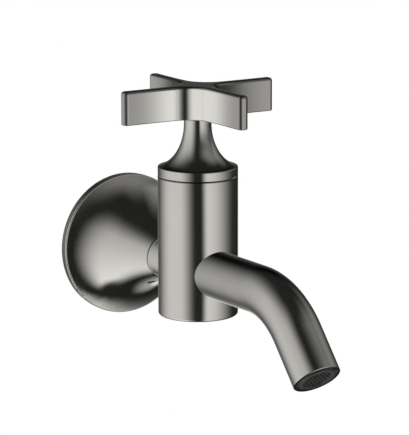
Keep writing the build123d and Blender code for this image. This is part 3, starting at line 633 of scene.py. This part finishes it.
@dataclass(frozen=True)
class PlainSolid:
    """A finish for an inner piece: one base colour with slight spots and other-toned edges."""

    name: str
    colour: Colour
    spot_colour: Colour
    metallic: float
    roughness: float
    grain: float = 400.0
    spot_range: Range = (0.3, 0.75)
    rough_range: Range = (0.2, 0.8)
    rough_change: Range = (-0.05, 0.07)
    edge_width: float = 0.0002
    edge_share: float = 0.5
    fineness: float = 4.0
    depth: float = 4.0e-6

    def build(self) -> bpy.types.Material:
        """Makes the material.

        Returns:
            The material.
        """
        material, shop = new_material(self.name)
        spots = shop.noise(self.grain, layers=4.0)
        fine = shop.noise(self.fineness * self.grain, layers=2.0)
        worn = spots.smooth(*self.spot_range)
        worn = worn.at_least(shop.edges(self.edge_width) * self.edge_share)
        least, most = (self.roughness + change for change in self.rough_change)
        sockets = {
            "Base Color": shop.mix(worn, self.colour, self.spot_colour),
            "Metallic": self.metallic,
            "Roughness": spots.smooth(*self.rough_range, least, most),
            "Normal": shop.bump(fine, self.depth),
        }
        shop.finish_surface(shop.node("ShaderNodeBsdfPrincipled", {}, sockets))
        return material


Finish = Union[PlatedMetal, PlainSolid]

TURNED_BRASS = PlainSolid("turned_brass", (0.78, 0.6, 0.3), (0.7, 0.52, 0.25), 1.0, 0.28)
MACHINED_STEEL = PlainSolid("machined_steel", (0.55, 0.55, 0.54), (0.48, 0.48, 0.47), 1.0, 0.3)
LAPPED_CERAMIC = PlainSolid("lapped_ceramic", (0.86, 0.85, 0.81), (0.83, 0.82, 0.78), 0.0, 0.18)
MOULDED_RUBBER = PlainSolid("moulded_rubber", (0.03, 0.03, 0.03), (0.045, 0.045, 0.045), 0.0, 0.6)
PRESSED_FIBRE = PlainSolid("pressed_fibre", (0.35, 0.12, 0.08), (0.26, 0.09, 0.06), 0.0, 0.8)
BLACK_MOULDING = PlainSolid("black_moulding", (0.035, 0.035, 0.037), (0.06, 0.06, 0.062), 0.0, 0.4)
WHITE_MOULDING = PlainSolid("white_moulding", (0.8, 0.8, 0.77), (0.76, 0.76, 0.73), 0.0, 0.4)
DARK_SIEVE = PlainSolid("dark_sieve", (0.105, 0.105, 0.105), (0.075, 0.075, 0.075), 1.0, 0.5)


class Slot(Enum):
    """The record's material slots and the finish of each."""

    PLATED = ("plated_metal", PlatedMetal())
    BRASS = ("bare_brass", TURNED_BRASS)
    STEEL = ("stainless_steel", MACHINED_STEEL)
    CERAMIC = ("white_ceramic", LAPPED_CERAMIC)
    RUBBER = ("black_rubber", MOULDED_RUBBER)
    FIBRE = ("sealing_fibre", PRESSED_FIBRE)
    BLACK = ("black_plastic", BLACK_MOULDING)
    WHITE = ("white_plastic", WHITE_MOULDING)

    @classmethod
    def of(cls, node: str) -> Slot:
        """The slot that the record gives to a node."""
        names = {part["node"]: part["material_slot"] for part in frame["record"]["subparts"]}
        return next(slot for slot in cls if slot.value[0] == names[node])


@cache
def material_of(finish: Finish) -> bpy.types.Material:
    """The material of a finish, made on first use."""
    return finish.build()


@dataclass
class SubAssembly:
    """Pieces that belong together, with their finishes."""

    name: str = "group"
    nodes: tuple[str, ...] = ()

    def build(self) -> None:
        """Dresses the group's nodes."""
        for node in self.nodes:
            self.dress(node, Slot.of(node).value[1])

    def dress(self, name: str, finish: Finish) -> None:
        """Gives a node its finish, and keeps it out of the reflections.

        Args:
            name: the node.
            finish: its finish.
        """
        node = frame["nodes"][name]
        node.data.materials.clear()
        node.data.materials.append(material_of(finish))
        node.visible_glossy = False
        log.info("%s: %s in %s", self.name, name, finish.name)

    def stand_in(self, name: str, mesh: bpy.types.Mesh, finish: Finish, body: str) -> None:
        """Puts a finer mesh in the place of a node.

        Args:
            name: the node.
            mesh: the finer mesh.
            finish: its finish.
            body: the body that it rides on.
        """
        piece = bpy.data.objects.new(mesh.name, mesh)
        bpy.context.scene.collection.objects.link(piece)
        mesh.materials.append(material_of(finish))
        piece.visible_glossy = False
        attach(piece, body)
        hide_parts(name)
        Slot.of(name).value[0]
        log.info("%s: %s in %s, for %s", self.name, piece.name, finish.name, name)


@dataclass
class WallFlange(SubAssembly):
    """The bell over the wall connection, with its seal, O-ring and set screw."""

    name: str = "wall flange"
    nodes: tuple[str, ...] = ("flange_seal", "flange_oring", "flange_set_screw")

    def build(self) -> None:
        """Dresses the bell apart from the rest, because its hollow is left as cast."""
        super().build()
        self.dress("wall_flange", PlatedBell())


@dataclass
class InletNipple(SubAssembly):
    """The nipple with its pipe thread cut as a real helix, and its washer.

    Places are Y values: the thread's end is in the wall and the nose in the valve's body. A
    larger flank share makes the thread's flanks steeper, and the run-out is the slope by which
    the thread rises out of the smooth part.
    """

    name: str = "inlet nipple"
    nodes: tuple[str, ...] = ("nipple_washer",)
    crest: float = 0.0104775
    thread_depth: float = 0.00116
    pitch: float = 0.001814
    flank_share: float = 1.35
    run_out: float = 0.8
    thread_end: float = 0.013
    thread_start: float = -0.002
    end_bevel: float = 0.0008
    smooth_radius: float = 0.0091
    shoulder_at: float = -0.0509
    nose_radius: float = 0.008
    nose_end: float = -0.058
    bore: float = 0.0046
    steps: int = 96
    rows: int = 10
    merge_distance: float = 1.0e-6
    shortest_edge: float = 1.0e-7
    sharp_from: float = math.radians(35.0)

    def build(self) -> None:
        """Makes the threaded nipple and dresses the washer."""
        super().build()
        self.stand_in("inlet_nipple", self.make_mesh(), PlatedTube(), "tap_body")

    @property
    def root(self) -> float:
        """Radius at the bottom of the thread."""
        return self.crest - self.thread_depth

    def thread_radius(self, turn: float, place: float) -> float:
        """Radius of the thread's surface.

        Args:
            turn: place within one pitch, from 0 to 1.
            place: Y value.

        Returns:
            The radius, lower near both ends of the thread.
        """
        rise = min(max(self.flank_share * (0.5 - abs(2.0 * turn - 1.0)) + 0.5, 0.0), 1.0)
        outer = self.crest - self.end_bevel + (self.thread_end - place)
        inner = self.root + self.run_out * (place - self.thread_start)
        return max(min(self.root + self.thread_depth * rise, outer, inner), self.root)

    def thread_point(self, step: int, row: int) -> Point:
        """A point of the helical grid, its rows running with the thread.

        Args:
            step: number of the step round the axis.
            row: number of the row.

        Returns:
            The point; rows past an end of the thread gather on that end's circle.
        """
        turns = row / self.rows + step / self.steps
        place = self.thread_start + self.pitch * (turns - 1.0)
        radius = self.thread_radius((row % self.rows) / self.rows, place)
        if place <= self.thread_start:
            place, radius = self.thread_start, self.root
        elif place >= self.thread_end:
            place, radius = self.thread_end, self.crest - self.end_bevel
        return self.on_circle(step, radius, place)

    def on_circle(self, step: int, radius: float, place: float) -> Point:
        """A point round the inlet axis."""
        angle = 2.0 * math.pi * step / self.steps
        return radius * math.sin(angle), place, radius * math.cos(angle)

    def add_thread(self, work: bmesh.types.BMesh) -> None:
        """Adds the thread as one helical grid, joined to itself a pitch further on.

        Args:
            work: the mesh that it goes into.
        """
        length = self.thread_end - self.thread_start
        count = math.ceil(length / self.pitch * self.rows) + self.rows
        grid = [
            [work.verts.new(self.thread_point(step, row)) for row in range(count + 1)]
            for step in range(self.steps)
        ]
        for step, near in enumerate(grid):
            last = step == self.steps - 1
            far, shift = (grid[0], self.rows) if last else (grid[step + 1], 0)
            for row in range(count - shift):
                work.faces.new((near[row], near[row + 1], far[row + 1 + shift], far[row + shift]))

    def add_turned_sides(self, work: bmesh.types.BMesh) -> None:
        """Adds the plain sides, from the thread's start round the nose and out of the bore.

        Args:
            work: the mesh that they go into.
        """
        rings = (
            (self.root, self.thread_start),
            (self.smooth_radius, self.thread_start - (self.root - self.smooth_radius)),
            (self.smooth_radius, self.shoulder_at),
            (self.nose_radius, self.shoulder_at),
            (self.nose_radius, self.nose_end + self.end_bevel),
            (self.nose_radius - self.end_bevel, self.nose_end),
            (self.bore, self.nose_end),
            (self.bore, self.thread_end),
            (self.crest - self.end_bevel, self.thread_end),
        )
        loops = [
            [work.verts.new(self.on_circle(step, *ring)) for step in range(self.steps)]
            for ring in rings
        ]
        for near, far in zip(loops, loops[1:]):
            for step in range(self.steps):
                after = (step + 1) % self.steps
                work.faces.new((near[step], near[after], far[after], far[step]))

    def make_mesh(self) -> bpy.types.Mesh:
        """Builds the nipple as one closed mesh.

        Returns:
            The mesh.
        """
        work = bmesh.new()
        self.add_thread(work)
        self.add_turned_sides(work)
        bmesh.ops.remove_doubles(work, verts=work.verts, dist=self.merge_distance)
        bmesh.ops.dissolve_degenerate(work, edges=work.edges, dist=self.shortest_edge)
        bmesh.ops.recalc_face_normals(work, faces=work.faces)
        mesh = bpy.data.meshes.new("threaded_nipple")
        work.to_mesh(mesh)
        work.free()
        mesh.shade_smooth()
        mesh.set_sharp_from_angle(angle=self.sharp_from)
        return mesh


@dataclass
class ValveBody(SubAssembly):
    """The upright body."""

    name: str = "valve body"

    def build(self) -> None:
        """Dresses the body, with painted shade along its top edge."""
        self.dress("valve_body", PlatedBarrel())


@dataclass
class Headwork(SubAssembly):
    """The quarter-turn valve in the body."""

    name: str = "headwork"
    nodes: tuple[str, ...] = (
        "headwork_housing",
        "headwork_oring",
        "bottom_seal",
        "fixed_disc",
        "moving_disc",
        "spindle",
        "thrust_washer",
        "spindle_orings",
        "spindle_clip",
    )


@dataclass
class CapCover(SubAssembly):
    """The flared cover over the headwork, with its O-ring and bush."""

    name: str = "cap"
    nodes: tuple[str, ...] = ("cap_cover", "cap_oring", "neck_bush")


@dataclass
class CrossHandle(SubAssembly):
    """The cross handle and what carries its turn down to the spindle."""

    name: str = "handle"
    nodes: tuple[str, ...] = (
        "handle_insert",
        "handle_set_screw",
        "spindle_extension",
        "extension_screw",
    )

    def build(self) -> None:
        """Dresses the cross apart from the rest, because polishing has shaped its faces."""
        super().build()
        self.dress("handle_cross", PlatedArms())


@dataclass
class Spout(SubAssembly):
    """The bent spout."""

    name: str = "spout"

    def build(self) -> None:
        """Dresses the spout, with painted shade inside its mouth."""
        self.dress("spout", PlatedSpout())


@dataclass
class Aerator(SubAssembly):
    """The aerator in the spout's mouth."""

    name: str = "aerator"
    nodes: tuple[str, ...] = (
        "aerator_housing",
        "aerator_core",
        "flow_regulator",
        "regulator_oring",
        "aerator_gasket",
    )

    def build(self) -> None:
        """Dresses the screen apart from the rest, in a dark grey steel."""
        super().build()
        self.dress("aerator_screen", DARK_SIEVE)


@dataclass(frozen=True)
class Span:
    """A range of angles in degrees, with a soft step at each end."""

    start: float
    full_from: float
    full_to: float
    end: float

    def share(self, angle: Signal) -> Signal:
        """Share of the full strength.

        Args:
            angle: the angle in degrees.

        Returns:
            1 inside the range, falling smoothly to 0 outside it.
        """
        middle = (self.start + self.end) / 2.0
        near = angle.math("WRAP", middle + HALF_TURN, middle - HALF_TURN)
        return near.smooth(self.start, self.full_from) * near.fall(self.full_to, self.end)


@dataclass(frozen=True)
class LightPanel:
    """A soft panel of light round the object.

    Its turn is in degrees of azimuth from the object's front, and its lift in degrees above the
    horizon. For each degree of height its level grows by rise, and it moves slant to the left.
    """

    turn: Span
    lift: Span
    level: float
    rise: float = 0.0
    slant: float = 0.0

    def radiance(self, azimuth: Signal, elevation: Signal) -> Signal:
        """Radiance of the panel in each direction.

        Args:
            azimuth: degrees round the vertical, to the right of the object's front.
            elevation: degrees above the horizon.

        Returns:
            The radiance.
        """
        share = self.turn.share(azimuth + elevation * self.slant) * self.lift.share(elevation)
        return share * (self.level + elevation * self.rise)


PANELS = (
    LightPanel(
        turn=Span(-194.0, -116.0, -88.0, -38.0),
        lift=Span(-79.5, -65.0, 23.5, 80.5),
        level=0.783,
        rise=-0.0054,
        slant=0.06,
    ),
    LightPanel(
        turn=Span(-24.0, -3.0, -2.0, 91.0),
        lift=Span(-78.5, -49.5, -17.5, 28.0),
        level=0.987,
        rise=0.0043,
    ),
    LightPanel(
        turn=Span(-34.0, 34.0, 52.0, 112.0),
        lift=Span(7.0, 19.0, 37.0, 75.0),
        level=0.07,
        rise=0.0048,
    ),
    LightPanel(
        turn=Span(-6.0, 14.0, 33.0, 125.0),
        lift=Span(-85.0, -67.5, -62.0, -25.0),
        level=0.222,
        rise=-0.0027,
    ),
    LightPanel(
        turn=Span(125.0, 142.0, 144.0, 194.0),
        lift=Span(-59.5, -30.5, -22.0, 52.5),
        level=0.207,
        rise=-0.0100,
    ),
    LightPanel(
        turn=Span(66.0, 84.0, 98.0, 130.0),
        lift=Span(-18.0, 11.0, 22.0, 49.0),
        level=0.15,
        rise=0.0037,
    ),
)


@dataclass(frozen=True)
class Studio:
    """Floor, light and camera.

    The camera's angles are in degrees and its focal length in pixels. It looks at the aim, which
    the photograph shows at the aim's pixel. The fill is the even light on rough surfaces, and the
    backdrop's two ranges are the directions in which metal mirrors the white background.
    """

    image: tuple[int, int] = (409, 435)
    focal_pixels: float = 3000.0
    sensor_height: float = 36.0
    yaw: float = 31.82
    pitch: float = 11.64
    roll: float = -0.138
    distance: float = 1.349
    farthest: float = 20.0
    aim: Point = (0.0, -0.0667, 0.0)
    aim_pixel: tuple[float, float] = (198.13, 268.13)
    floor_height: float = -1.2
    floor_radius: float = 0.22
    floor_steps: int = 128
    floor_colour: Colour = (0.85, 0.85, 0.84)
    floor_glow: float = 1.12
    glow_share: float = 0.8
    dark: float = 0.02
    fill: float = 0.7
    fill_gain: float = 0.6
    tint: Colour = (1.0, 1.0, 0.985)
    panels: tuple[LightPanel, ...] = PANELS
    backdrop_turn: Span = Span(122.0, 138.0, 150.0, 170.0)
    backdrop_lift: Span = Span(-32.0, -24.0, -18.0, -8.0)

    def build(self) -> None:
        """Makes all of it."""
        self.make_floor()
        self.make_world()
        self.make_camera()
        log.info("studio: floor, world with %d soft panels, camera", len(self.panels))

    def make_camera(self) -> None:
        """Puts the camera where the photograph was taken."""
        yaw, pitch, roll = (math.radians(angle) for angle in (self.yaw, self.pitch, self.roll))
        level = math.cos(pitch)
        back = Vector((-math.sin(yaw) * level, -math.cos(yaw) * level, math.sin(pitch)))
        right = Vector((math.cos(yaw), -math.sin(yaw), 0.0))
        up = back.cross(right)
        cos_roll, sin_roll = math.cos(roll), math.sin(roll)
        right, up = right * cos_roll + up * sin_roll, up * cos_roll - right * sin_roll
        scale = self.distance / self.focal_pixels
        across = (self.aim_pixel[0] - self.image[0] / 2) * scale
        above = (self.image[1] / 2 - self.aim_pixel[1]) * scale
        place = Vector(self.aim) - right * across - up * above + back * self.distance
        data = bpy.data.cameras.new("camera")
        data.sensor_fit = "VERTICAL"
        data.sensor_height = self.sensor_height
        data.lens = self.focal_pixels / self.image[1] * self.sensor_height
        data.clip_end = self.farthest
        camera = bpy.data.objects.new("camera", data)
        turned = Matrix((right, up, back)).transposed().to_4x4()
        camera.matrix_world = Matrix.Translation(place) @ turned
        bpy.context.scene.collection.objects.link(camera)
        bpy.context.scene.camera = camera
        bpy.context.scene.view_settings.view_transform = "Standard"

    def make_floor(self) -> None:
        """Makes the round pale floor under the tap, which the camera sees as white."""
        mesh = bpy.data.meshes.new("floor")
        work = bmesh.new()
        bmesh.ops.create_circle(
            work, cap_ends=True, segments=self.floor_steps, radius=self.floor_radius
        )
        middle = (self.aim[0], self.aim[1], self.floor_height)
        bmesh.ops.translate(work, verts=work.verts, vec=middle)
        work.to_mesh(mesh)
        work.free()
        floor = bpy.data.objects.new("floor", mesh)
        floor.visible_glossy = False
        bpy.context.scene.collection.objects.link(floor)
        material, shop = new_material("pale_floor")
        pale = shop.node("ShaderNodeBsdfDiffuse", {}, {"Color": (*self.floor_colour, 1.0)})
        white = shop.node("ShaderNodeEmission", {}, {"Strength": self.floor_glow})
        seen = shop.add("ShaderNodeLightPath", {}, {}, "Is Camera Ray")
        both = (seen * self.glow_share, pale.outputs[0], white.outputs[0])
        shop.finish_surface(shop.node("ShaderNodeMixShader", {}, both))
        mesh.materials.append(material)

    def make_world(self) -> None:
        """Lights the object with soft panels, and shows a white backdrop."""
        world = bpy.data.worlds.new("studio")
        bpy.context.scene.world = world
        world.use_nodes = True
        shop = NodeShop(world.node_tree)
        x, y, z = shop.parts(shop.add("ShaderNodeTexCoord", {}, {}, "Generated"))
        azimuth = x.math("ARCTAN2", -y) * DEGREES
        elevation = z.math("ARCSINE") * DEGREES
        light: Number = self.dark
        for panel in self.panels:
            light = panel.radiance(azimuth, elevation) + light
        backdrop = self.backdrop_turn.share(azimuth) * self.backdrop_lift.share(elevation)
        path = shop.node("ShaderNodeLightPath", {}, {})
        seen, glossy, through = (
            Signal(shop, path.outputs[name])
            for name in ("Is Camera Ray", "Is Glossy Ray", "Is Transmission Ray")
        )
        mirrored = glossy + through
        soft = 1.0 - seen - mirrored
        strength = seen + mirrored * light.at_least(backdrop)
        strength = strength + soft * (self.fill + light * self.fill_gain)
        colour = shop.mix(seen, self.tint, WHITE)
        glow = shop.node("ShaderNodeBackground", {}, {"Color": colour, "Strength": strength})
        shop.finish_surface(glow, "ShaderNodeOutputWorld")


def main() -> None:
    """Builds the tap group by group, then the studio round it."""
    groups = (
        WallFlange(),
        InletNipple(),
        ValveBody(),
        Headwork(),
        CapCover(),
        CrossHandle(),
        Spout(),
        Aerator(),
        Studio(),
    )
    for group in groups:
        group.build()


if __name__ == "__main__":
    logging.basicConfig(level=logging.INFO, format="%(message)s")
    main()
